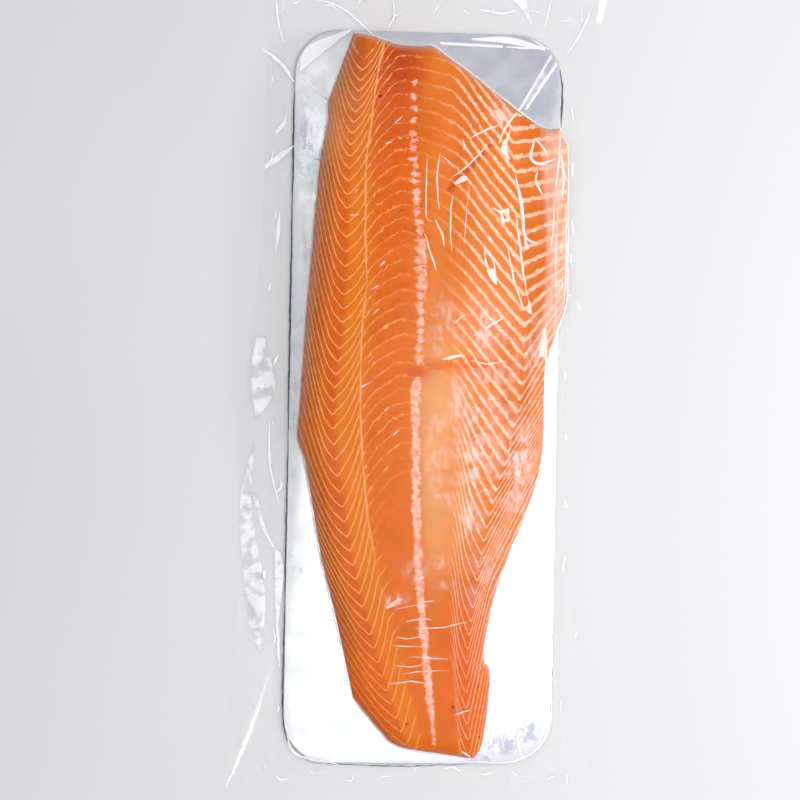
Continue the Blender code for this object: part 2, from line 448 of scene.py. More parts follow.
def make_fillet_shape():
    """A fine grid laid over the CAD fillet, with a skirt down to the skin."""
    fillet = add_grid("salmon_fillet", ACROSS, ALONG)
    plan = fillet_plan()
    tree = node_tree_of(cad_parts["fillet"].data)
    top = FILLET_HIGH.z + 10 * MM
    inner = np.array([FILLET_MIDDLE.x, FILLET_MIDDLE.y])
    pulled_in = inner + (plan - inner) * 0.997
    heights = [dropped_height(tree, x, y, top) for x, y in pulled_in.reshape(-1, 2)]
    z = smoothed(np.array(heights).reshape(plan.shape[:2]), 9)
    set_coordinates(fillet.data, np.dstack([plan, z]).reshape(-1, 3))
    close_underside(fillet)
    return fillet


def close_underside(fillet):
    """Extrudes the border down to the board: a strip of flesh, then the thin skin."""
    mesh = fillet.data
    bpy.ops.object.mode_set(mode="EDIT")
    bpy.ops.mesh.select_all(action="SELECT")
    bpy.ops.mesh.region_to_loop()
    skin_top = FILLET_LOW.z + 0.8 * MM
    centre = (FILLET_MIDDLE.x, FILLET_MIDDLE.y, skin_top)
    bpy.ops.mesh.extrude_region_move()
    bpy.ops.transform.resize(value=(0.996, 0.998, 0), center_override=centre)
    bpy.ops.mesh.extrude_region_move(TRANSFORM_OT_translate={"value": (0, 0, -0.8 * MM)})
    bpy.ops.transform.resize(value=(0.994, 0.997, 1), center_override=centre)
    bpy.ops.mesh.edge_face_add()
    bpy.ops.mesh.quads_convert_to_tris()
    bpy.ops.mesh.select_all(action="SELECT")
    bpy.ops.mesh.normals_make_consistent(inside=False)
    bpy.ops.object.mode_set(mode="OBJECT")
    centres = np.zeros(len(mesh.polygons) * 3)
    mesh.polygons.foreach_get("center", centres)
    is_skin = centres.reshape(-1, 3)[:, 2] < skin_top - 0.1 * MM
    mesh.polygons.foreach_set("material_index", is_skin.astype(np.int32))
    mesh.polygons.foreach_set("use_smooth", np.ones(len(mesh.polygons), dtype=bool))


def muscle_tables(x, y, lateral):
    """Muscle line number, closeness of the lines and landmark at points in millimetres."""
    on_back = lateral < 0
    number = np.where(on_back, back_lines.read(back_lines.number, x, y), side_lines.read(side_lines.number, x, y))
    closeness = np.where(
        on_back, back_lines.read(back_lines.closeness, x, y), side_lines.read(side_lines.closeness, x, y)
    )
    landmark = np.where(
        on_back, back_lines.read(back_lines.landmark, x, y), side_lines.read(side_lines.landmark, x, y)
    )
    return number, closeness, landmark


def swell_muscles(mesh):
    """Raises the flesh a little between its muscle lines and dents it where it is marked."""
    points = coordinates(mesh)
    x, y = (points[:, 0] - FILLET_MIDDLE.x) / MM, (points[:, 1] - FILLET_MIDDLE.y) / MM
    on_top = smooth_step(FILLET_LOW.z + 3 * MM, FILLET_LOW.z + 9 * MM, points[:, 2])
    lateral, _ = distance_to_route(x, y, LATERAL_LINE)
    number, closeness, landmark = muscle_tables(x, y, lateral)
    between = 1 - (2 * np.abs((number + 0.5) % 1 - 0.5)) ** 3
    crowding = np.clip(1.6 - closeness * 5.5, 0.2, 1)
    fold_dent = np.exp(-((landmark - BELLY_FOLD) / 0.22) ** 2) * smooth_step(-120, -20, y)
    spine_dent = np.exp(-((landmark - BACKBONE) / 0.30) ** 2)
    slit, _ = distance_to_route(x, y, SLIT)
    soft = uneven(points[:, :2], 22 * MM, 3.0)
    points[:, 2] += on_top * (
        SWELL * between * crowding * (1 + 0.3 * soft)
        - 0.9 * MM * fold_dent
        - 0.25 * MM * spine_dent
        - 0.8 * MM * np.exp(-(slit / 2.2) ** 2)
        + 0.35 * MM * soft
    )
    set_coordinates(mesh, points)


def flesh_tones(x, y, landmark):
    """The flesh colour at each point, with a painted shade along the back edge, before its lines, grain and marks."""
    colours = np.repeat(linear(232, 108, 14)[None, :], len(x), axis=0)

    def blend(share, red, green, blue):
        share = np.clip(share, 0, 1)[:, None]
        colours[:] = colours * (1 - share) + linear(red, green, blue) * share

    # Darker band along the back edge: partly the flesh's own tone, partly painted shade of the slope falling to the
    # edge.
    back_edge_band_and_shade = 1 - smooth_step(0.9, 1.5, landmark)
    blend(0.8 * back_edge_band_and_shade, 196, 92, 18)
    blend(0.6 * smooth_step(1.1, 1.5, landmark) * (1 - smooth_step(2.0, 2.3, landmark)), 220, 92, 8)
    blend(0.7 * smooth_step(2.1, 2.6, landmark) * (1 - smooth_step(3.9, 4.6, landmark)), 240, 132, 8)
    blend(0.85 * patch(x, y, (-68, 222), (16, 46), 8), 194, 118, 60)
    blend(0.8 * patch(x, y, (-74, 185), (10, 26), 4), 234, 154, 88)
    blend(0.9 * patch(x, y, (-28, 224), (26, 34)), 192, 44, 3)
    blend(0.6 * patch(x, y, (-30, 180), (20, 40)), 226, 80, 14)
    blend(0.5 * patch(x, y, (-30, 120), (20, 50)), 236, 100, 20)
    blend(0.3 * patch(x, y, (-57, 140), (9, 60), 4), 240, 130, 12)
    right = smooth_step(BACKBONE - 0.1, BACKBONE + 0.6, landmark) * smooth_step(-150, -90, y)
    blend(0.5 * right, 242, 136, 40)
    blend(0.7 * patch(x, y, (20, 200), (40, 40)), 236, 116, 42)
    blend(0.6 * patch(x, y, (10, 160), (16, 24)), 238, 116, 48)
    blend(0.85 * patch(x, y, (5, -8), (16, 66)), 250, 178, 116)
    blend(0.75 * patch(x, y, (8, -70), (17, 62)), 248, 172, 108)
    blend(0.7 * patch(x, y, (-2, -40), (9, 90), 2), 252, 182, 118)
    blend(0.5 * smooth_step(BELLY_FOLD, BELLY_FOLD + 0.4, landmark) * smooth_step(20, 80, y), 230, 110, 36)
    streaks = 0.6 + 0.4 * uneven(np.stack([x, y * 0.12], axis=1), 3.0, 9.0)
    rim = smooth_step(BELLY_FOLD + 0.5, BELLY_FOLD + 0.68, landmark) * smooth_step(20, 60, y)
    blend(0.95 * rim * streaks, 250, 208, 190)
    blend(0.85 * patch(x, y, (26, -195), (22, 60)), 236, 98, 2)
    blend(0.5 * patch(x, y, (0, -240), (40, 16)), 232, 106, 8)
    blend(0.7 * patch(x, y, (-11, 16), (9, 7)), 216, 70, 34)
    blend(0.85 * patch(x, y, (22, 20), (42, 4.5)), 240, 102, 28)
    blend(0.9 * patch(x, y, (-46, -205), (26, 44)), 234, 98, 0)
    for centre, size, turn in CLINGING_PATCHES:
        blend(0.6 * patch(x, y, centre, size, turn), 238, 120, 38)
    groove, _ = distance_to_route(x, y, HEAD_GROOVE)
    blend(0.8 * np.exp(-(groove / 1.6) ** 2), 196, 56, 12)
    return colours * 0.96


def line_widths(landmark, y):
    """Half the width of a muscle line in millimetres, landmark by landmark."""
    width = np.interp(landmark, [0, 2, 4, 6.5, 7.5, 8.5, 10, 11], [0.42, 0.46, 0.44, 0.42, 0.75, 1.05, 1.3, 1.7])
    return width * np.where(landmark > 7.5, 0.28 + 0.72 * smooth_step(-120, -50, y), 1)


def line_strengths(landmark, y):
    strength = np.interp(
        landmark, [0, 1, 2, 3.8, 4.0, 5.8, 6.5, 7.5, 8.2, 9, 10, 11], [0.7, 0.85, 1, 1, 1, 1, 0.45, 0.4, 0.8, 1, 1, 1]
    )
    pale_strip = np.exp(-((landmark - 7.6) / 0.45) ** 2) * (1 - smooth_step(95, 135, y))
    smooth_tail = smooth_step(4.2, 5.0, landmark) * (1 - smooth_step(7.6, 8.4, landmark)) * (1 - smooth_step(-90, -20, y))
    fine_tail = np.where(landmark > 7.8, 0.5, 0.4) * (1 - smooth_step(-190, -110, y))
    return strength * (1 - 0.85 * pale_strip) * (1 - 0.85 * smooth_tail) * (1 - fine_tail)


def mark_flesh(mesh):
    """Stores what the flesh material reads: tones, muscle lines, backbone line and specks."""
    points = coordinates(mesh)
    x, y = (points[:, 0] - FILLET_MIDDLE.x) / MM, (points[:, 1] - FILLET_MIDDLE.y) / MM
    lateral, _ = distance_to_route(x, y, LATERAL_LINE)
    number, closeness, landmark = muscle_tables(x, y, lateral)
    store(mesh, "back_line", back_lines.read(back_lines.number, x, y) + 0.5)
    store(mesh, "side_line", side_lines.read(side_lines.number, x, y) + 0.5)
    crowded = np.where(landmark > 10, 0.17, 0.24)
    store(mesh, "line_width", np.minimum(line_widths(landmark, y) * closeness, crowded))
    store(mesh, "line_strength", line_strengths(landmark, y))
    store(mesh, "line_paleness", smooth_step(7.4, 8.6, landmark))
    calm_tail = 1 - 0.6 * (1 - smooth_step(-130, -80, y))
    unrest = np.interp(landmark, [0, 3.6, 4.0, 7.5, 8.5, 11], [0.22, 0.26, 0.75, 0.7, 0.45, 0.45])
    store(mesh, "line_unrest", unrest * calm_tail)
    backbone = np.minimum(outside_strip(x, y, backbone_strip()), outside_strip(x, y, BACKBONE_LINK))
    for bead_x, bead_y, half_width, half_length in backbone_beads():
        spread = np.hypot((x - bead_x) / half_width, (y - bead_y) / half_length)
        backbone = np.minimum(backbone, (spread - 1) * min(half_width, half_length))
    store(mesh, "backbone", backbone)
    speck = np.full(len(x), 20.0)
    for speck_x, speck_y, radius in DARK_SPECKS:
        speck = np.minimum(speck, np.hypot(x - speck_x, (y - speck_y) * 1.4) - radius)
    store(mesh, "speck", speck)
    store(mesh, "lateral_line", lateral)
    store(mesh, "seam", smooth_step(-150, -60, y))
    store_colour(mesh, "flesh_tone", flesh_tones(x, y, landmark))


# ---------------------------------------------------------------- materials

class Recipe:
    """Short ways to wire up one node material."""

    def __init__(self, name):
        self.material = bpy.data.materials.new(name)
        self.material.use_nodes = True
        self.tree = self.material.node_tree
        self.tree.nodes.clear()
        self.output = self.tree.nodes.new("ShaderNodeOutputMaterial")

    def add(self, kind, **settings):
        """Adds a node; settings name its properties, or its inputs in plain words."""
        node = self.tree.nodes.new("ShaderNode" + kind)
        for key, value in settings.items():
            if hasattr(node, key) and not key.startswith("in_"):
                setattr(node, key, value)
            else:
                self.feed(node, key.removeprefix("in_").replace("_", " "), value)
        return node

    def feed(self, node, socket_name, value):
        names = {socket.name.lower(): socket for socket in node.inputs if socket.enabled}
        socket = names[socket_name.lower()]
        if isinstance(value, bpy.types.NodeSocket):
            self.tree.links.new(value, socket)
        elif isinstance(value, (tuple, np.ndarray)) and socket.type == "RGBA":
            socket.default_value = (*[float(part) for part in value[:3]], 1.0)
        else:
            socket.default_value = value

    def number(self, name):
        return self.add("Attribute", attribute_name=name).outputs["Fac"]

    def tone(self, name):
        return self.add("Attribute", attribute_name=name).outputs["Color"]

    def place(self):
        return self.add("TexCoord").outputs["Object"]

    def stretched(self, scale):
        mapping = self.add("Mapping", in_vector=self.place())
        mapping.inputs["Scale"].default_value = scale
        return mapping.outputs["Vector"]

    def cloud(self, scale, detail=3.0, vector=None, roughness=0.5):
        node = self.add("TexNoise", in_scale=scale, in_detail=detail, in_roughness=roughness)
        self.feed(node, "vector", vector or self.place())
        return node.outputs["Fac"]

    def math(self, operation, first, second=None):
        node = self.add("Math", operation=operation)
        for socket, value in zip(node.inputs, (first, second)):
            if isinstance(value, bpy.types.NodeSocket):
                self.tree.links.new(value, socket)
            elif value is not None:
                socket.default_value = value
        return node.outputs[0]

    def fade(self, value, low, high, to_low=0.0, to_high=1.0):
        """Maps value smoothly from low..high to to_low..to_high."""
        node = self.add("MapRange", interpolation_type="SMOOTHSTEP")
        for name, part in (("Value", value), ("From Min", low), ("From Max", high), ("To Min", to_low), ("To Max", to_high)):
            socket = node.inputs[name]
            if isinstance(part, bpy.types.NodeSocket):
                self.tree.links.new(part, socket)
            else:
                socket.default_value = part
        return node.outputs["Result"]

    def mix(self, share, first, second, blend="MIX"):
        node = self.add("Mix", data_type="RGBA", blend_type=blend)
        sockets = [node.inputs[0], node.inputs[6], node.inputs[7]]
        for socket, value in zip(sockets, (share, first, second)):
            if isinstance(value, bpy.types.NodeSocket):
                self.tree.links.new(value, socket)
            elif isinstance(value, (tuple, np.ndarray)):
                socket.default_value = (*[float(part) for part in value[:3]], 1.0)
            else:
                socket.default_value = value
        return node.outputs[2]

    def bump(self, height, distance, strength=1.0, normal=None):
        node = self.add("Bump", in_height=height, in_distance=distance, in_strength=strength)
        if normal is not None:
            self.feed(node, "normal", normal)
        return node.outputs["Normal"]

    def finish(self, shader):
        self.tree.links.new(shader.outputs[0], self.output.inputs["Surface"])
        return self.material

    def without_shadow(self, shader):
        """Thin film scatters light on instead of holding it back, so it casts no shadow."""
        shadow_ray = self.add("LightPath").outputs["Is Shadow Ray"]
        lit_through = self.add("MixShader", in_fac=shadow_ray)
        self.tree.links.new(shader.outputs[0], lit_through.inputs[1])
        self.tree.links.new(self.add("BsdfTransparent").outputs[0], lit_through.inputs[2])
        return lit_through


def flesh_material():
    """Moist orange flesh: pale muscle lines, the backbone line, grain and specks."""
    flesh = Recipe("salmon_flesh")
    wander = flesh.math("SUBTRACT", flesh.cloud(90, 3), 0.5)
    shiver = flesh.math("SUBTRACT", flesh.cloud(420, 2), 0.5)
    drift = flesh.math("ADD", flesh.math("MULTIPLY", wander, 0.6), flesh.math("MULTIPLY", shiver, 0.8))
    drift = flesh.math("MULTIPLY", drift, flesh.number("line_unrest"))
    crooked = flesh.math("ADD", flesh.number("lateral_line"), flesh.math("MULTIPLY", wander, 1.4))
    past_lateral = flesh.math("GREATER_THAN", crooked, 0.0)
    back, side = flesh.number("back_line"), flesh.number("side_line")
    muscle_line = flesh.math("ADD", back, flesh.math("MULTIPLY", past_lateral, flesh.math("SUBTRACT", side, back)))
    phase = flesh.math("ADD", muscle_line, drift)
    off_line = flesh.math("ABSOLUTE", flesh.math("SUBTRACT", flesh.math("FRACT", phase), 0.5))
    width = flesh.math("MULTIPLY", flesh.number("line_width"), flesh.fade(flesh.cloud(260, 2), 0.3, 0.7, 0.7, 1.3))
    line = flesh.fade(off_line, flesh.math("MULTIPLY", width, 0.6), flesh.math("MULTIPLY", width, 1.3), 1.0, 0.0)
    gaps = flesh.math("MULTIPLY", flesh.fade(flesh.cloud(170, 3), 0.42, 0.56, 1.0, 0.0), flesh.number("line_unrest"))
    broken = flesh.math("SUBTRACT", 1.0, flesh.math("MULTIPLY", gaps, 0.85))
    line_share = flesh.math("MULTIPLY", flesh.math("MULTIPLY", line, broken), flesh.number("line_strength"))
    tone = flesh.mix(flesh.fade(flesh.cloud(38, 4), 0.3, 0.75), flesh.tone("flesh_tone"), (0.74, 0.62, 0.50), "MULTIPLY")
    tone = flesh.mix(0.35, flesh.tone("flesh_tone"), tone)
    fibres = flesh.cloud(1.0, 3, flesh.stretched((900, 260, 900)))
    tone = flesh.mix(flesh.fade(fibres, 0.35, 0.75, 0.0, 0.14), tone, (1.0, 0.44, 0.06))
    grain = flesh.cloud(1500, 2)
    tone = flesh.mix(flesh.fade(grain, 0.45, 0.8, 0.0, 0.2), tone, (0.55, 0.11, 0.01))
    line_tone = flesh.mix(flesh.number("line_paleness"), linear(250, 166, 98), linear(253, 204, 168))
    tone = flesh.mix(line_share, tone, line_tone)
    seam_width = flesh.fade(flesh.cloud(75, 2), 0.35, 0.65, 0.3, 1.1)
    seam = flesh.fade(flesh.math("DIVIDE", flesh.math("ABSOLUTE", crooked), seam_width), 0.4, 1.3, 0.9, 0.0)
    tone = flesh.mix(flesh.math("MULTIPLY", seam, flesh.number("seam")), tone, linear(250, 170, 106))
    teeth = flesh.cloud(1.0, 4, flesh.stretched((300, 850, 300)), 0.65)
    lumps = flesh.math("MULTIPLY", flesh.math("SUBTRACT", teeth, 0.52), 7.5)
    ragged = flesh.math("ADD", flesh.number("backbone"), lumps)
    bone = flesh.fade(ragged, -0.5, 0.4, 0.88, 0.0)
    bone_tone = flesh.mix(flesh.fade(flesh.cloud(240, 3), 0.35, 0.65), linear(252, 208, 188), linear(244, 160, 130))
    tone = flesh.mix(bone, tone, bone_tone)
    speck = flesh.fade(flesh.math("ADD", flesh.number("speck"), flesh.math("MULTIPLY", shiver, 1.5)), -0.4, 0.4, 0.85, 0.0)
    tone = flesh.mix(speck, tone, linear(110, 32, 18))
    relief = flesh.math("SUBTRACT", flesh.math("MULTIPLY", grain, 0.25), flesh.math("MULTIPLY", line_share, 0.5))
    surface = flesh.add(
        "BsdfPrincipled", in_base_color=tone, in_roughness=flesh.fade(flesh.cloud(500, 2), 0.3, 0.7, 0.32, 0.46),
        in_normal=flesh.bump(relief, 0.15 * MM, 0.5), in_specular_ior_level=0.10, in_subsurface_weight=0.08, in_subsurface_scale=0.002,
    )
    surface.inputs["Subsurface Radius"].default_value = (1.0, 0.35, 0.15)
    return flesh.finish(surface)


def skin_material():
    """Silver-grey fish skin with rows of small scales."""
    skin = Recipe("salmon_skin")
    scales = skin.add("TexVoronoi", in_scale=1.0, in_vector=skin.stretched((380, 260, 380)))
    shade = skin.fade(scales.outputs["Distance"], 0.1, 0.6)
    tone = skin.mix(shade, linear(176, 180, 182), linear(98, 104, 110))
    tone = skin.mix(skin.fade(skin.cloud(30, 3), 0.4, 0.7, 0.0, 0.6), tone, linear(70, 76, 84))
    surface = skin.add(
        "BsdfPrincipled", in_base_color=tone, in_metallic=0.35, in_roughness=skin.fade(shade, 0, 1, 0.28, 0.5),
        in_normal=skin.bump(shade, 0.2 * MM, 0.6),
    )
    return skin.finish(surface)


def board_material():
    """Silver foil laminated on card: satin, faintly lilac and blue, hardly wavy, with painted shade on its left
    strip.
    """
    foil = Recipe("silver_board")
    tint = foil.mix(foil.fade(foil.cloud(22, 2), 0.42, 0.62), linear(228, 228, 231), linear(222, 227, 230))
    tint = foil.mix(foil.fade(foil.cloud(14, 2), 0.5, 0.7), tint, linear(226, 224, 233))
    across = foil.add("SeparateXYZ", in_vector=foil.place()).outputs["X"]
    # Painted shade: the foil is a little darker and warmer towards the left, fully so past X = -0.08 m.
    tint = foil.mix(foil.fade(across, -0.08, 0.0), foil.mix(1.0, tint, (0.93, 0.94, 0.88), "MULTIPLY"), tint)
    wave = foil.cloud(26, 2)
    pebble = foil.cloud(900, 2)
    normal = foil.bump(pebble, 0.02 * MM, 0.5, foil.bump(wave, 0.5 * MM, 0.5))
    surface = foil.add(
        "BsdfPrincipled", in_base_color=tint, in_metallic=1.0, in_roughness=foil.fade(foil.cloud(60, 3), 0.3, 0.7, 0.24, 0.34),
        in_normal=normal,
    )
    return foil.finish(surface)


def card_material():
    """The cut edge and the back of the card: bare white pulp board."""
    card = Recipe("card_core")
    pulp = card.cloud(800, 3)
    tone = card.mix(card.fade(pulp, 0.3, 0.7), linear(232, 229, 222), linear(212, 208, 200))
    surface = card.add("BsdfPrincipled", in_base_color=tone, in_roughness=0.75, in_normal=card.bump(pulp, 0.05 * MM, 0.4))
    return card.finish(surface)


def film_material():
    """Clear vacuum film: see-through, glossy, with fine drag lines, stretch haze and patches of painted reflection.
    """
    film = Recipe("clear_film")
    drag = film.cloud(1.0, 3, film.stretched((240, 60, 200)))
    dimple = film.cloud(170, 2)
    normal = film.bump(dimple, 0.10 * MM, 0.35, film.bump(drag, 0.12 * MM, 0.35))
    gloss = film.add("BsdfGlossy", in_color=(1, 1, 1), in_roughness=0.07, in_normal=normal)
    clear = film.add("BsdfTransparent", in_color=(1, 1, 1))
    slant = film.add("LayerWeight", in_blend=0.5, in_normal=normal).outputs["Facing"]
    mirror = film.math("MULTIPLY_ADD", film.math("POWER", slant, 3.0), 0.35)
    mirror.node.inputs[2].default_value = 0.009
    sheet = film.add("MixShader", in_fac=mirror)
    film.tree.links.new(clear.outputs[0], sheet.inputs[1])
    film.tree.links.new(gloss.outputs[0], sheet.inputs[2])
    # The milky layer carries stretch haze together with painted reflections of the lamps and, over the board, of its
    # surroundings.
    milky = film.add("BsdfPrincipled", in_base_color=film.tone("film_tone"), in_roughness=0.25)
    streaks = film.fade(film.cloud(1.0, 4, film.stretched((300, 110, 300))), 0.36, 0.60, 0.15, 1.0)
    cling = film.fade(film.cloud(75, 3), 0.40, 0.52, 0.1, 1.0)
    haze = film.math("MULTIPLY", film.math("MULTIPLY", film.number("film_haze"), streaks), cling)
    cover = film.add("MixShader", in_fac=haze)
    film.tree.links.new(sheet.outputs[0], cover.inputs[1])
    film.tree.links.new(milky.outputs[0], cover.inputs[2])
    return film.finish(film.without_shadow(cover))


def crease_material():
    """Film folded on itself: glossy, painted white along the fold as whitening and glint, and painted dark grey where
    a strip stands for shadow.
    """
    crease = Recipe("film_crease")
    clear = crease.add("BsdfTransparent", in_color=(1, 1, 1))
    height = crease.add("SeparateXYZ", in_vector=crease.place()).outputs["Z"]
    on_flesh = crease.fade(height, 3 * MM, 7 * MM)
    lit = crease.mix(on_flesh, (0.97, 0.97, 0.97), linear(255, 232, 218))
    # Painted shadow: strips marked by film_shade take a dark grey.
    tone = crease.mix(crease.number("film_shade"), lit, linear(84, 88, 96))
    white = crease.add("BsdfPrincipled", in_roughness=0.18, in_base_color=tone)
    patchy = crease.fade(crease.cloud(110, 2), 0.35, 0.6, 0.72, 1.0)
    share = crease.math("MULTIPLY", crease.number("film_white"), patchy)
    share = crease.fade(share, 0.30, 0.72, 0.0, 0.96)
    fold = crease.add("MixShader", in_fac=share)
    crease.tree.links.new(clear.outputs[0], fold.inputs[1])
    crease.tree.links.new(white.outputs[0], fold.inputs[2])
    return crease.finish(crease.without_shadow(fold))


def floor_material():
    floor = Recipe("pale_floor")
    # Painted shade: the floor is darker towards the left (-X) and lighter towards the right, as the lamps fall.
    across = floor.add("SeparateXYZ", in_vector=floor.place()).outputs["X"]
    tone = floor.mix(floor.fade(across, -0.35, 0.35), (0.72, 0.72, 0.70), (0.815, 0.815, 0.79))
    tone = floor.mix(floor.fade(floor.cloud(3, 2), 0.3, 0.7, 0.0, 0.3), tone, (0.80, 0.80, 0.78))
    surface = floor.add("BsdfPrincipled", in_base_color=tone, in_roughness=0.55)
    return floor.finish(surface)


# ---------------------------------------------------------------- board

def make_board():
    """A card with round corners and softly pressed edges, where the CAD board lies."""
    size = BOARD_HIGH - BOARD_LOW
    middle = (BOARD_HIGH + BOARD_LOW) / 2
    deselect_all()
    bpy.ops.mesh.primitive_cube_add(size=1, location=middle, scale=size)
    board = bpy.context.object
    board.name = board.data.name = "silver_board"
    bpy.ops.object.transform_apply(location=True, rotation=True, scale=True)
    bpy.ops.object.mode_set(mode="EDIT")
    bpy.ops.mesh.select_mode(type="EDGE")
    bpy.ops.mesh.select_all(action="DESELECT")
    bpy.ops.object.mode_set(mode="OBJECT")
    mesh = board.data
    for edge in mesh.edges:
        ends = [mesh.vertices[index].co for index in edge.vertices]
        edge.select = abs(ends[0].z - ends[1].z) > size.z / 2
    bpy.ops.object.mode_set(mode="EDIT")
    bpy.ops.mesh.bevel(offset=32 * MM, segments=14, affect="EDGES")
    bpy.ops.mesh.select_all(action="DESELECT")
    bpy.ops.mesh.select_mode(type="FACE")
    bpy.ops.object.mode_set(mode="OBJECT")
    for face in mesh.polygons:
        face.select = abs(face.normal.z) > 0.9
    bpy.ops.object.mode_set(mode="EDIT")
    bpy.ops.mesh.region_to_loop()
    bpy.ops.mesh.bevel(offset=0.3 * MM, segments=3, affect="EDGES")
    bpy.ops.object.mode_set(mode="OBJECT")
    bpy.ops.object.shade_smooth_by_angle(angle=math.radians(50))
    board.data.materials.append(board_material())
    board.data.materials.append(card_material())
    for face in mesh.polygons:
        face.material_index = 0 if face.center.z > BOARD_HIGH.z - 0.35 * MM and face.normal.z > 0.3 else 1
    return board


# ---------------------------------------------------------------- pouch film

FILM_ACROSS, FILM_ALONG = 196, 440
FILM_CELL = 1.3 * MM
DRAPE_RADIUS = 7 * MM


def ball_offsets(radius):
    """The cap of a ball as steps over the film's grid: (rows, columns, height)."""
    reach = int(radius / FILM_CELL)
    steps = []
    for row in range(-reach, reach + 1):
        for column in range(-reach, reach + 1):
            gap = radius**2 - (row**2 + column**2) * FILM_CELL**2
            if gap >= 0:
                steps.append((row, column, math.sqrt(gap)))
    return steps


def rolled_over(heights, radius):
    """The surface that a ball of this radius rolls on, so that film bridges every hollow."""
    reach = int(radius / FILM_CELL)
    rows, columns = heights.shape
    raised = np.full(heights.shape, -1.0)
    padded = np.pad(heights, reach, mode="edge")
    for row, column, cap in ball_offsets(radius):
        part = padded[reach + row: reach + row + rows, reach + column: reach + column + columns]
        raised = np.maximum(raised, part + cap)
    draped = np.full(heights.shape, 1.0)
    padded = np.pad(raised, reach, mode="edge")
    for row, column, cap in ball_offsets(radius):
        part = padded[reach + row: reach + row + rows, reach + column: reach + column + columns]
        draped = np.minimum(draped, part - cap)
    return draped


def inside_board(x, y):
    """How far inside the round-cornered board each point is; negative outside."""
    corner = 32 * MM
    middle = (BOARD_HIGH + BOARD_LOW) / 2
    half = (BOARD_HIGH - BOARD_LOW) / 2
    dx = np.abs(x - middle.x) - (half.x - corner)
    dy = np.abs(y - middle.y) - (half.y - corner)
    outside = np.hypot(np.maximum(dx, 0), np.maximum(dy, 0)) + np.minimum(np.maximum(dx, dy), 0)
    return corner - outside


def film_plan():
    """The grid of the film in plan, between the two drawn-in sides of the pouch."""
    shares = np.linspace(0, 1, FILM_ALONG + 1)
    rows = POUCH_LOW.y + (POUCH_HIGH.y - POUCH_LOW.y) * (0.0002 + 0.9996 * shares)
    low, high = outline_at("pouch", rows)
    across = np.linspace(0, 1, FILM_ACROSS + 1)
    x = low[:, None] + (high - low)[:, None] * across[None, :]
    y = np.repeat(rows[:, None], FILM_ACROSS + 1, axis=1)
    return x, y


def film_heights(x, y, fillet):
    """The upper film: over the fillet, the board and the border, drawn tight by the vacuum."""
    support = np.where(inside_board(x, y) > 0, BOARD_HIGH.z, 0.4 * MM)
    tree = node_tree_of(fillet.data)
    down = Vector((0, 0, -1))
    over = (x > FILLET_LOW.x) & (x < FILLET_HIGH.x) & (y > FILLET_LOW.y) & (y < FILLET_HIGH.y)
    for row, column in zip(*np.nonzero(over)):
        hit = tree.ray_cast(Vector((x[row, column], y[row, column], 0.1)), down)[0]
        if hit is not None:
            support[row, column] = hit.z
    draped = rolled_over(support, DRAPE_RADIUS)
    draped = np.maximum(smoothed(draped, 2), support) + 0.35 * MM
    on_border = 1 - smooth_step(-6 * MM, -1 * MM, inside_board(x, y))
    flat = np.stack([x.ravel(), y.ravel()], axis=1)
    folds = uneven(flat * [1.0, 0.35], 11 * MM, 5.0) + 0.5 * uneven(flat, 6 * MM, 8.0)
    ripple = np.maximum(folds, 0).reshape(x.shape) * 2.6 * MM
    edge = np.minimum(np.arange(x.shape[1])[None, :], np.arange(x.shape[1])[::-1][None, :])
    return draped + ripple * on_border * smooth_step(0, 3, edge)


def make_film(fillet):
    """One closed bag: the draped upper film, joined all round to the flat lower film."""
    bag = add_grid("pouch_film", FILM_ACROSS, FILM_ALONG)
    x, y = film_plan()
    z = film_heights(x, y, fillet)
    set_coordinates(bag.data, np.stack([x, y, z], axis=2).reshape(-1, 3))
    bpy.ops.object.mode_set(mode="EDIT")
    bpy.ops.mesh.select_all(action="SELECT")
    bpy.ops.mesh.region_to_loop()
    bpy.ops.mesh.extrude_region_move()
    bpy.ops.transform.resize(value=(1, 1, 0), center_override=(0, 0, 0.05 * MM))
    bpy.ops.mesh.edge_face_add()
    bpy.ops.mesh.quads_convert_to_tris()
    bpy.ops.mesh.select_all(action="SELECT")
    bpy.ops.mesh.normals_make_consistent(inside=False)
    bpy.ops.object.mode_set(mode="OBJECT")
    mesh = bag.data
    mesh.polygons.foreach_set("use_smooth", np.ones(len(mesh.polygons), dtype=bool))
    points = coordinates(mesh)
    fx, fy = (points[:, 0] - FILLET_MIDDLE.x) / MM, (points[:, 1] - FILLET_MIDDLE.y) / MM
    haze = np.zeros(len(points))
    tones = np.repeat(linear(*MILKY)[None, :], len(points), axis=0)
    on_board = 1 - smooth_step(BOARD_HIGH.z + 1 * MM, BOARD_HIGH.z + 3 * MM, points[:, 2])
    # Haze patches are partly painted reflection of the lamps; the board tints are painted reflections, kept to the
    # film over the board.
    for index, (centre, size, turn, strength, tone) in enumerate(HAZE_AND_REFLECTION_PATCHES + BOARD_REFLECTION_TINTS):
        cloud = strength * patch(fx, fy, centre, size, turn)
        if index >= len(HAZE_AND_REFLECTION_PATCHES):
            cloud = cloud * on_board
        tones[cloud > haze] = linear(*tone)
        haze = np.maximum(haze, cloud)
    for centre, size, turn in CLINGING_PATCHES:
        haze = haze * (1 - patch(fx, fy, centre, size, turn))
    store(mesh, "film_haze", haze)
    store_colour(mesh, "film_tone", tones)
    mesh.materials.append(film_material())
    return bag, (x, y, z)
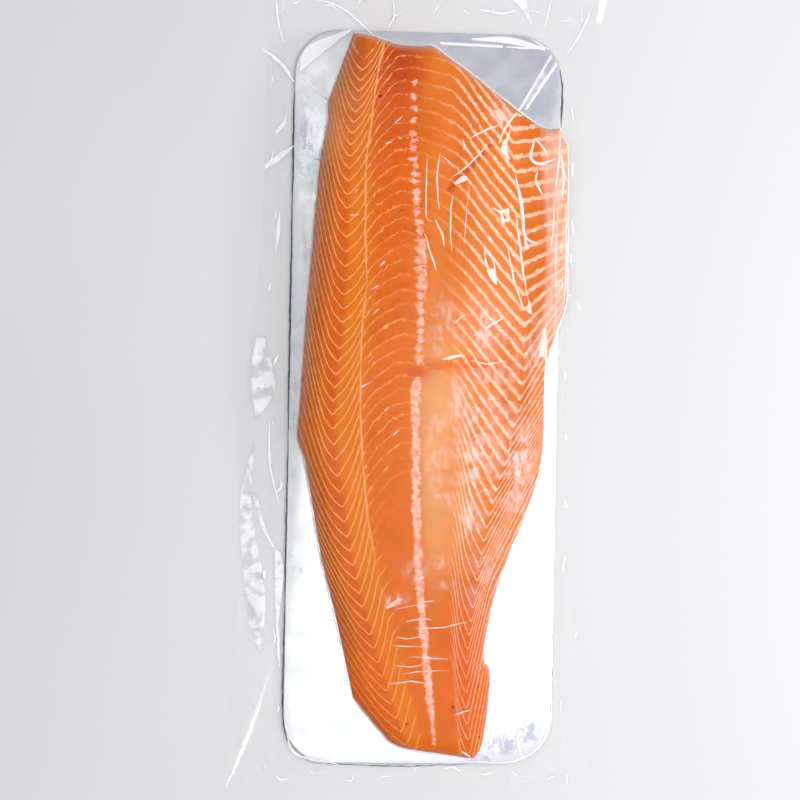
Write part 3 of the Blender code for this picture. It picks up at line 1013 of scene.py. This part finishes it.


# Sharp folds of the film, painted white as whitening and glint: (route in millimetres from the middle of the fillet,
# half-width in millimetres, whiteness).
FILLET_CREASES = [
    # across the thick of the head
    ([(22, 179), (31, 184), (42, 189)], 0.6, 1),
    ([(57, 201), (48, 189), (42, 176)], 0.9, 0.6),
    ([(35, 176), (24, 163), (9, 150)], 0.5, 0.7),
    ([(51, 188), (48, 174), (50, 160)], 0.7, 1),
    ([(69, 182), (66, 168), (73, 164), (84, 168)], 1.2, 0.75),
    ([(69, 182), (75, 175), (78, 169)], 0.9, 0.65),
    ([(17, 178), (19, 172), (22, 168)], 0.7, 0.9),
    # strands down the flank
    ([(1, 168), (-1, 150), (1, 128)], 0.5, 0.75),
    ([(1, 166), (6, 163), (12, 157)], 0.4, 0.55),
    ([(10, 139), (9, 120), (10, 100)], 0.55, 0.75),
    ([(22, 146), (20, 125), (19, 104)], 0.4, 0.55),
    ([(-8, 164), (-8, 125), (-3, 120)], 0.45, 0.65),
    ([(-2, 122), (3, 112), (5, 103)], 0.6, 0.85),
    ([(-9, 112), (-4, 97), (0, 86)], 0.6, 0.65),
    ([(33, 105), (35, 92), (39, 82)], 0.6, 0.9),
    ([(34, 104), (40, 94), (42, 84)], 0.6, 0.95),
    # the long fold between flank and belly
    ([(56, 129), (59, 108), (62, 88), (66, 68)], 0.7, 1),
    ([(55, 156), (60, 135), (63, 113), (73, 108)], 1.2, 0.75),
    ([(50, 104), (56, 80), (63, 61)], 0.6, 0.9),
    ([(71, 160), (70, 152), (75, 142)], 0.9, 0.7),
    ([(87, 173), (90, 157), (89, 140)], 1.2, 0.85),
    ([(87, 189), (86, 165), (84, 146)], 0.7, 0.9),
    ([(83, 136), (83, 120), (81, 104)], 0.6, 0.8),
    ([(86, 139), (85, 95), (86, 55)], 0.35, 0.6),
    ([(92, 136), (93, 100), (92, 62)], 0.6, 0.8),
    # the slit across the middle
    ([(5, 25), (12, 27), (21, 28)], 0.9, 1.4),
    ([(25, 25), (38, 23), (52, 25)], 0.4, 0.7),
    ([(31, 43), (40, 50), (49, 56)], 0.9, 0.45),
    ([(11, 49), (21, 57)], 0.8, 0.4),
    # the tail's cut end
    ([(19, -221), (30, -218)], 0.8, 0.5),
    ([(24, -247), (32, -252)], 0.7, 0.9),
]
BOARD_CREASES = [
    ([(-96, 223), (-86, 214), (-75, 205)], 0.7, 1),
    ([(-91, 226), (-77, 211)], 0.5, 0.7),
    ([(-96, 211), (-90, 203), (-85, 195)], 0.7, 0.6),
    ([(-97, 170), (-81, 164)], 0.9, 0.9),
    ([(47, 247), (76, 246)], 0.7, 0.9),
    ([(66, 253), (80, 245)], 0.6, 0.6),
    ([(65, -231), (65, -242), (69, -254)], 0.9, 1),
    ([(31, -255), (60, -255), (78, -246), (88, -229)], 0.9, 1),
    ([(-97, -237), (-90, -251), (-60, -258)], 0.9, 1),
    ([(80, 44), (80, 10), (80, -22)], 0.9, 0.8),
    ([(-123, 241), (-110, 231), (-100, 218)], 1.3, 0.95),
    ([(-114, 276), (-112, 260), (-108, 245)], 0.8, 0.6),
    ([(-113, -19), (-112, -50), (-105, -78)], 0.9, 0.8),
    ([(-106, -144), (-103, -191)], 1, 0.8),
    ([(-90, 277), (-66, 270), (-38, 245)], 0.8, 0.85),
    ([(-32, 279), (-31, 267), (-36, 256)], 1, 0.5),
    ([(28, 273), (45, 271), (55, 273)], 1.1, 0.85),
    ([(109, 276), (100, 256), (91, 243)], 0.8, 0.7),
    ([(80, 282), (76, 262)], 0.8, 0.5),
    ([(96, 208), (97, 194)], 0.8, 0.7),
]

# Dark strips painted as shadow where the film folds along the board's rim, written the same way, with their darkness.
SHADED_CREASES = [
    ([(-100, 211), (-100, 135)], 0.55, 0.85),
    ([(-100, 135), (-100, -30)], 0.55, 0.9),
    ([(-100, -32), (-100, -144)], 0.5, 0.6),
    ([(-100, -144), (-100, -222), (-93, -247), (-79, -257)], 0.6, 0.5),
    ([(87, 232), (89, 214), (88, 191)], 0.8, 0.6),
    ([(-79, -257), (-20, -259), (31, -257)], 0.5, 0.45),
    ([(88, -148), (88, -232)], 0.7, 0.35),
]


def short_crease(random, centre, length, turn, bend):
    """A route of three points round a centre, turned by an angle in degrees."""
    along = np.array([math.cos(math.radians(turn)), math.sin(math.radians(turn))])
    aside = np.array([-along[1], along[0]]) * bend * random.uniform(-1, 1)
    middle = np.array(centre, dtype=float)
    ends = (middle - along * length / 2, middle + aside, middle + along * length / 2)
    return [tuple(end) for end in ends]


def scattered_creases():
    """The many small folds, painted white as whitening and glint: across the tail, over the thick back and in the
    loose film.
    """
    random = np.random.default_rng(43)
    creases = []
    for y in np.linspace(-140, -199, 10):
        centre = (backbone_x(y) + random.uniform(-14, 14), y + random.uniform(-3, 3))
        route = short_crease(random, centre, random.uniform(10, 38), random.uniform(-4, 7), 1.5)
        creases.append((route, random.uniform(0.35, 0.6), random.uniform(0.45, 0.7)))
    for y in np.linspace(-60, 190, 16):
        centre = (random.uniform(-58, -22), y)
        route = short_crease(random, centre, random.uniform(3, 8), random.uniform(-10, 50), 0.5)
        creases.append((route, random.uniform(0.4, 0.9), random.uniform(0.28, 0.5)))
    for side, turn in ((-110, 96), (99, 84)):
        for y in np.linspace(-265, 265, 12):
            centre = (side + random.uniform(-6, 6), y + random.uniform(-8, 8))
            route = short_crease(random, centre, random.uniform(4, 14), turn + random.uniform(-30, 30), 2)
            creases.append((route, random.uniform(0.5, 1.1), random.uniform(0.5, 0.8)))
    for y in (-266, 272):
        for x in np.linspace(-100, 90, 9):
            route = short_crease(random, (x, y + random.uniform(-5, 5)), random.uniform(5, 16),
                                 random.uniform(-35, 35), 3)
            creases.append((route, random.uniform(0.5, 1.0), random.uniform(0.5, 0.8)))
    return creases


CREASES = FILLET_CREASES + BOARD_CREASES + scattered_creases()

# Wider white patches painted as glints on the film, some on whitened folds: (one side, other side, whiteness in the
# middle, whiteness at the rim).
GLINT_FOLDS = [
    ([(-97, 225), (-92, 243), (-60, 257)], [(-96, 225), (-82, 237), (-62, 254)], 1.6, 1.4),
    ([(-104, 200), (-107, 191), (-113, 183)], [(-105, 197), (-106, 188), (-112, 181)], 0.95, 0.95),
    ([(-99, 174), (-111, 167), (-120, 159)], [(-100, 172), (-109, 163), (-120, 156)], 0.95, 0.95),
    ([(-109, 127), (-111, 112), (-111, 97)], [(-108, 126), (-108, 112), (-111, 97)], 1.1, 1.1),
    ([(-123, 40), (-127, 16), (-123, -20)], [(-117, 40), (-109, 5), (-122, -20)], 0.55, 0.55),
    ([(-124, -35), (-133, -80), (-126, -155), (-118, -178)],
     [(-123, -35), (-124, -80), (-113, -144), (-117, -182)], 0.55, 0.55),
    ([(-124, -70), (-118, -92), (-109, -108)], [(-120, -74), (-113, -97), (-107, -108)], 0.6, 0.6),
    ([(-108, -108), (-107, -144), (-105, -158)], [(-104, -110), (-101, -125), (-104, -158)], 0.65, 0.65),
    ([(23, 252), (50, 254), (76, 247)], [(23, 251), (50, 249), (76, 245)], 1.3, 1.3),
    ([(1, 249), (46, 248)], [(1, 247), (46, 246)], 1.5, 1.2),
    ([(80, 243), (57, 202)], [(85, 235), (64, 203)], 0.45, 1.7),
    ([(51, 281), (58, 275), (66, 263)], [(62, 282), (64, 273), (67, 263)], 0.75, 0.75),
    ([(114, 283), (112, 266)], [(120, 283), (116, 265)], 0.85, 0.85),
    ([(36, 200), (42, 193), (43, 190)], [(43, 199), (47, 194), (45, 190)], 0.55, 0.4),
    ([(47, 180), (44, 172), (50, 166)], [(48, 180), (49, 172), (51, 166)], 1.6, 1.3),
    ([(11, 147), (16, 152), (20, 152)], [(12, 146), (17, 148), (21, 150)], 0.85, 1),
    ([(38, 132), (44, 130), (51, 132)], [(39, 131), (44, 128), (50, 130)], 2, 2),
    ([(44, 128), (46, 120)], [(46, 129), (48, 121)], 2, 2),
    ([(51, 132), (51, 122)], [(49, 130), (49, 123)], 2, 2),
    ([(46, 122), (51, 122)], [(46, 124), (50, 124)], 1.8, 1.8),
    ([(35, 88), (38, 82), (42, 78)], [(40, 89), (42, 84), (43, 78)], 2, 1.8),
    ([(62, 113), (63, 103)], [(63, 113), (66, 104)], 0.9, 1.1),
    ([(65, 60), (66, 68)], [(69, 58), (67, 68)], 1.6, 1.4),
    ([(-31, -147), (-22, -141), (-16, -142)], [(-30, -148), (-22, -145), (-16, -143)], 0.5, 0.6),
    ([(-8, -221), (30, -218)], [(-8, -223), (28, -220)], 0.28, 0.28),
    ([(32, 37), (42, 45)], [(35, 32), (45, 39)], 0.4, 0.4),
    ([(73, 28), (77, 49)], [(80, 29), (79, 49)], 0.7, 0.5),
]

# Where stretch haze and painted reflection of the lamps cloud the film (centre, size, turn, strength, tone), and
# where the film clings to the wet flesh and is clear (centre, size, turn).  The tints, painted reflections in the
# silver board, lie over the board alone.
MILKY, BRIGHT_REFLECTION, GREY, BLUE_GREY, LILAC = (252, 232, 224), (255, 226, 216), (190, 190, 196), (148, 163, 174), (206, 204, 222)
HAZE_AND_REFLECTION_PATCHES = [
    ((35, 46), (17, 22), 0, 0.55, MILKY),
    ((6, 45), (10, 28), 0, 0.45, MILKY),
    ((60, -48), (13, 38), -4, 0.95, BRIGHT_REFLECTION),
    ((32, -37), (21, 38), 0, 0.55, MILKY),
    ((18, -10), (10, 35), 0, 0.45, MILKY),
    ((3, -38), (9, 42), 0, 0.35, MILKY),
    ((45, 2), (26, 30), 0, 0.45, MILKY),
    ((66, 30), (14, 26), 0, 0.45, MILKY),
    ((77, 37), (4, 14), 0, 0.8, BRIGHT_REFLECTION),
    ((87, 110), (6, 80), 0, 0.7, BRIGHT_REFLECTION),
    ((44, 196), (10, 7), 0, 0.55, MILKY),
    ((8, -73), (14, 7), 0, 0.5, MILKY),
    ((28, -86), (11, 17), 0, 0.5, MILKY),
    ((38, -120), (14, 34), -12, 0.3, MILKY),
    ((-24, -142), (9, 4), 8, 0.55, MILKY),
    ((14, -182), (9, 3), 0, 0.6, MILKY),
    ((-10, -121), (11, 8), 0, 0.3, MILKY),
    ((7, -117), (11, 7), 0, 0.3, MILKY),
    ((10, -131), (10, 4), 0, 0.3, MILKY),
]
# Painted reflections in the silver board: grey, blue-grey and lilac patches on the film over it.
BOARD_REFLECTION_TINTS = [
    ((-89, 42), (9, 26), 0, 0.2, GREY),
    ((-91, -9), (6, 20), 0, 0.75, BLUE_GREY),
    ((-89, -36), (8, 5), 0, 0.8, LILAC),
    ((-91, 175), (7, 24), 0, 0.6, LILAC),
    ((-91, -118), (8, 9), 0, 0.5, LILAC),
    ((50, -246), (15, 7), 25, 1.5, LILAC),
    ((72, -236), (8, 9), 0, 1.5, LILAC),
    ((-86, 152), (6, 18), 0, 0.25, GREY),
    ((-90, 100), (6, 26), 0, 0.25, GREY),
]
CLINGING_PATCHES = [
    ((51, -2), (9, 7), 0),
    ((45, 78), (10, 9), 0),
    ((33, -24), (19, 3.5), 4),
    ((25, -49), (22, 3.5), 14),
    ((51, -50), (10, 3.5), 10),
    ((21, -63), (14, 3), 12),
    ((37, -70), (6, 3), 0),
    ((45, -85), (7, 2.4), 8),
    ((18, 23), (36, 6), 0),
]


def film_height_at(plan, px, py):
    """The film's height at points, read from its grid."""
    x, y, z = plan
    row = np.clip((py - y[0, 0]) / (y[-1, 0] - y[0, 0]) * (len(y) - 1), 0, len(y) - 1.001)
    under = row.astype(int)
    left, right = x[under, 0], x[under, -1]
    column = np.clip((px - left) / (right - left) * (x.shape[1] - 1), 0, x.shape[1] - 1.001)
    start = column.astype(int)
    up, over = row - under, column - start
    lower = z[under, start] * (1 - over) + z[under, start + 1] * over
    upper = z[under + 1, start] * (1 - over) + z[under + 1, start + 1] * over
    return lower * (1 - up) + upper * up


def even_points(route, step):
    """Points step millimetres apart along a smooth curve through a route."""
    curve = smooth_curve(route) if len(route) > 2 else np.array(route, dtype=float)
    length = np.hypot(*np.diff(curve, axis=0).T).sum()
    return points_along(curve, np.linspace(0, 1, max(int(length / step), 5) + 1))


def lay_strip(plan, rails, fill, rim, arch):
    """A thin arched strip of film between two rails, laid on the film, painted white as whitening and glint, or dark
    as shadow once shade_strip marks it.

    Without a whiteness for its rim it fades out towards both rails.
    """
    first, second = rails
    run, over = first[-1] - first[0], second[len(second) // 2] - first[len(first) // 2]
    if run[0] * over[1] - run[1] * over[0] > 0:
        first, second = second, first
    cells = 4 if rim is None else 8
    strip = add_grid("film_strip", cells, len(first) - 1)
    share = np.linspace(0, 1, cells + 1)[None, :, None]
    flat = first[:, None] * (1 - share) + second[:, None] * share
    x = FILLET_MIDDLE.x + flat[..., 0].ravel() * MM
    y = FILLET_MIDDLE.y + flat[..., 1].ravel() * MM
    off_middle = np.tile(np.abs(2 * share.ravel() - 1), len(first))
    width = np.repeat(np.hypot(*(second - first).T), cells + 1)
    z = film_height_at(plan, x, y) + 0.12 * MM + arch * width * MM * (1 - off_middle**2)
    set_coordinates(strip.data, np.stack([x, y, z], axis=1))
    faded = (1 - off_middle**2) ** 1.2 if rim is None else 1 + (rim / fill - 1) * off_middle**3
    store(strip.data, "film_white", fill * faded)
    return strip


def crease_rails(route, half_width, number):
    """The two sides of a crease that wanders a little and tapers to both ends."""
    middle = even_points(route, 1.3)
    wander = uneven(middle, 7.0, number) * 0.5
    run = np.gradient(middle, axis=0)
    sideways = np.stack([-run[:, 1], run[:, 0]], axis=1) / np.hypot(*run.T)[:, None]
    middle = middle + sideways * wander[:, None]
    taper = np.sin(np.pi * np.linspace(0.02, 0.98, len(middle))) ** 0.6
    half = half_width * taper * (1 + 0.35 * uneven(middle, 3.0, number + 0.5))
    return middle + sideways * half[:, None], middle - sideways * half[:, None]


def outline_glint_creases():
    """A thin line painted white as a glint all round the fillet, where the film stands off the board."""
    middle = (BOARD_LOW + BOARD_HIGH) / 2
    shift = np.array([middle.x - FILLET_MIDDLE.x, middle.y - FILLET_MIDDLE.y]) / MM
    routes = []
    for edge, side, half_width, white in (
        (BACK_EDGE, -1, 0.5, 0.45), (BELLY_EDGE, 1, 0.6, 0.7), (HEAD_EDGE, 1, 0.8, 0.9), (TAIL_EDGE, -1, 0.6, 0.6)
    ):
        curve = points_along(smooth_curve(edge), np.linspace(0.01, 0.99, 120)) / MM
        run = np.gradient(curve, axis=0)
        outward = np.stack([run[:, 1], -run[:, 0]], axis=1) / np.hypot(*run.T)[:, None]
        if edge is HEAD_EDGE:
            outward = -outward
        if edge is TAIL_EDGE:
            outward = -outward
        routes.append((curve + shift + outward * side * 1.1, half_width, white))
    return routes


def shade_strip(strip, shade):
    """Stores how dark the strip is: 0 is white film, 1 is a fold painted dark grey as deep shadow."""
    store(strip.data, "film_shade", np.full(len(strip.data.vertices), shade))


def make_creases(plan):
    """All folds of the film as one piece: strips painted white as whitening and glints, and strips painted dark as
    shadow.
    """
    strips = []
    for number, (route, half_width, dark) in enumerate(SHADED_CREASES):
        rails = crease_rails(route, half_width * 1.5, 500 + number)
        strips.append(lay_strip(plan, rails, 1.5 * dark, None, 0.02))
        shade_strip(strips[-1], 1.0)
    for number, (route, half_width, white) in enumerate(CREASES + outline_glint_creases()):
        strips.append(lay_strip(plan, crease_rails(route, half_width * 1.5, number), 1.5 * white, None, 0.07))
        shade_strip(strips[-1], 0.0)
    # Painted glints: wide white patches on the film.
    for first, second, fill, rim in GLINT_FOLDS:
        rails = [points_along(smooth_curve(rail) if len(rail) > 2 else np.array(rail, float), np.linspace(0, 1, 25)) for rail in (first, second)]
        strips.append(lay_strip(plan, rails, fill, rim, 0.02))
        shade_strip(strips[-1], 0.0)
    deselect_all()
    for strip in strips:
        strip.select_set(True)
    bpy.context.view_layer.objects.active = strips[0]
    bpy.ops.object.join()
    creases = bpy.context.object
    creases.name = creases.data.name = "film_creases"
    shell = creases.modifiers.new("film_thickness", "SOLIDIFY")
    shell.thickness = 0.06 * MM
    shell.offset = -1
    bpy.ops.object.modifier_apply(modifier=shell.name)
    mesh = creases.data
    mesh.polygons.foreach_set("use_smooth", np.ones(len(mesh.polygons), dtype=bool))
    mesh.materials.append(crease_material())
    return creases


# ---------------------------------------------------------------- stage

CAMERA_LENS = 100.0
CAMERA_SENSOR = 36.0
VIEW_WIDTH = 0.56
CAMERA_TURN = (math.radians(0.9), math.radians(-4.0), math.radians(1.02))
VIEW_CENTRE = Vector((-11.1 * MM, -16.4 * MM, BOARD_HIGH.z))


def add_camera():
    data = bpy.data.cameras.new("camera")
    data.lens = CAMERA_LENS
    data.sensor_width = CAMERA_SENSOR
    camera = bpy.data.objects.new("camera", data)
    bpy.context.scene.collection.objects.link(camera)
    camera.rotation_euler = CAMERA_TURN
    distance = VIEW_WIDTH * CAMERA_LENS / CAMERA_SENSOR
    looking = camera.rotation_euler.to_matrix() @ Vector((0, 0, -1))
    camera.location = VIEW_CENTRE - looking * distance
    bpy.context.scene.camera = camera


def add_softbox(name, location, aim, size, brightness, turn=0.0):
    """A rectangular lamp whose face has the given brightness, whatever its size."""
    data = bpy.data.lights.new(name, "AREA")
    data.shape = "RECTANGLE"
    data.size, data.size_y = size
    data.energy = brightness * size[0] * size[1] * math.pi
    lamp = bpy.data.objects.new(name, data)
    bpy.context.scene.collection.objects.link(lamp)
    lamp.location = location
    facing = (Vector(location) - Vector(aim)).to_track_quat("Z", "Y")
    lamp.rotation_euler = (facing @ Quaternion((0, 0, 1), math.radians(turn))).to_euler()
    return lamp


def add_stage():
    deselect_all()
    bpy.ops.mesh.primitive_plane_add(size=8, location=(0, 0, -0.2 * MM))
    floor = bpy.context.object
    floor.name = "floor"
    floor.data.materials.append(floor_material())
    world = bpy.data.worlds.new("studio")
    world.use_nodes = True
    background = world.node_tree.nodes["Background"]
    background.inputs["Color"].default_value = (0.58, 0.58, 0.64, 1)
    background.inputs["Strength"].default_value = 1.0
    bpy.context.scene.world = world
    add_softbox("overhead_softbox", (0.396, -0.463, 2.2), (0.396, -0.463, 0), (2.2, 1.2), 1.35, 26)
    add_softbox("left_softbox", (-0.35, 0.75, 2.2), (-0.35, 0.75, 0), (0.6, 0.5), 1.3)
    add_softbox("side_softbox", (1.2, -0.1, 1.3), (0, 0, 0), (0.9, 0.8), 3.6)
    add_softbox("glint_lamp", (1.4, 0.1, 0.57), (0, 0, 0), (0.14, 0.16), 60.0)
    bpy.context.scene.view_settings.view_transform = "Standard"


# ---------------------------------------------------------------- assembly

back_lines = MusclePattern(back_lines(), BACK_PLACES, BACK_FOLD, steepest=6.0)
side_lines = MusclePattern(side_lines(), SIDE_PLACES, SIDE_FOLD, steepest=2.0)
fillet = make_fillet_shape()
swell_muscles(fillet.data)
mark_flesh(fillet.data)
fillet.data.materials.append(flesh_material())
fillet.data.materials.append(skin_material())
board = make_board()
film, plan = make_film(fillet)
creases = make_creases(plan)

for piece in (fillet, board, film, creases):
    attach(piece, "root")
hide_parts("fillet")
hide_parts("backing_board")
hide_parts("pouch")

add_stage()
add_camera()
